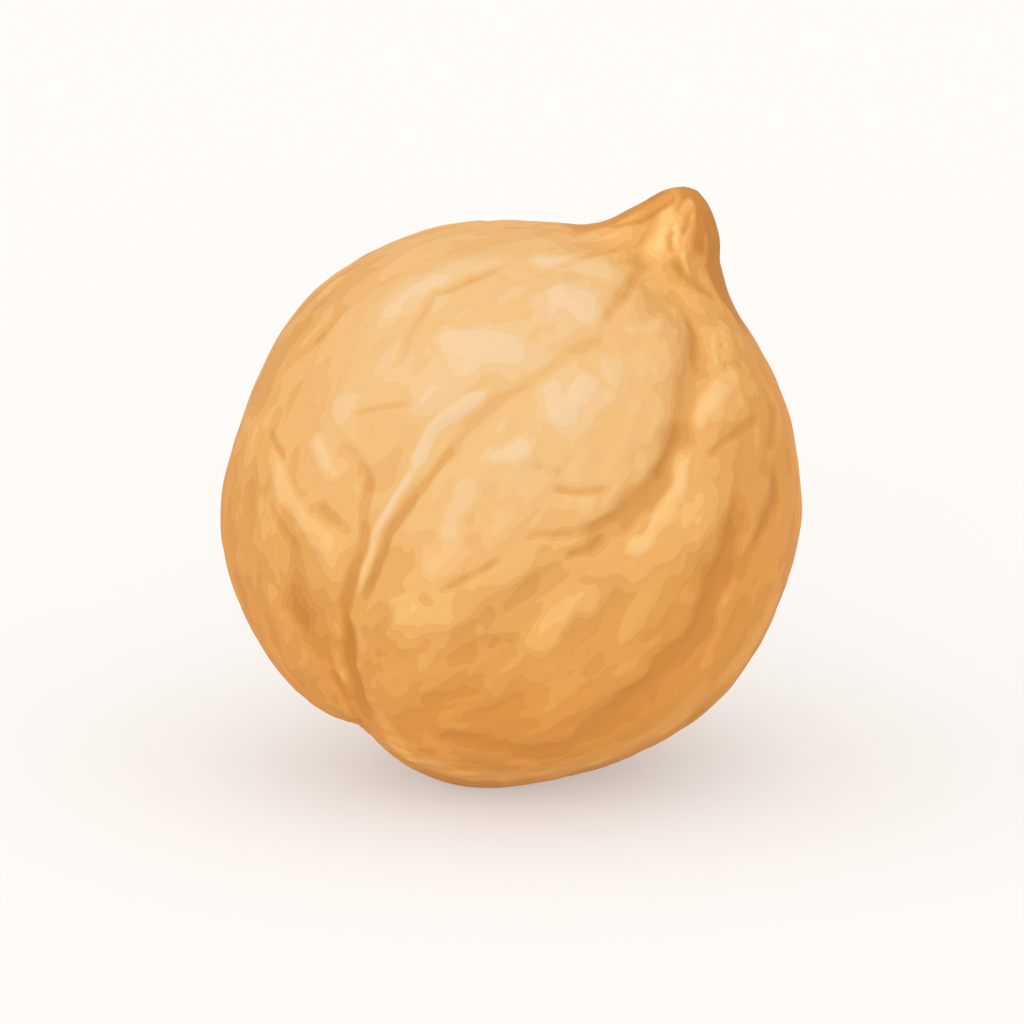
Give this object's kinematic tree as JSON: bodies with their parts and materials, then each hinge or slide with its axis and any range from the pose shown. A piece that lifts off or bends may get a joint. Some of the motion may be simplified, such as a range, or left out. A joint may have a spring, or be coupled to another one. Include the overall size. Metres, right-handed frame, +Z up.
{
  "type": "chickpea",
  "caption": "Whole golden chickpea with a pointed beak and a furrow between its two halves, resting on a small flat spot.",
  "frame": {"origin": "middle of the flat resting spot under the seed", "axes": "+Z up, +X towards the side the beak points to, -Y towards the front, where the deep furrow shows"},
  "size_m": [0.01, 0.0091, 0.0102],
  "materials": {
    "seed_skin": "satin"
  },
  "bodies": {
    "root": {"chickpea": "seed_skin"}
  },
  "joints": []
}
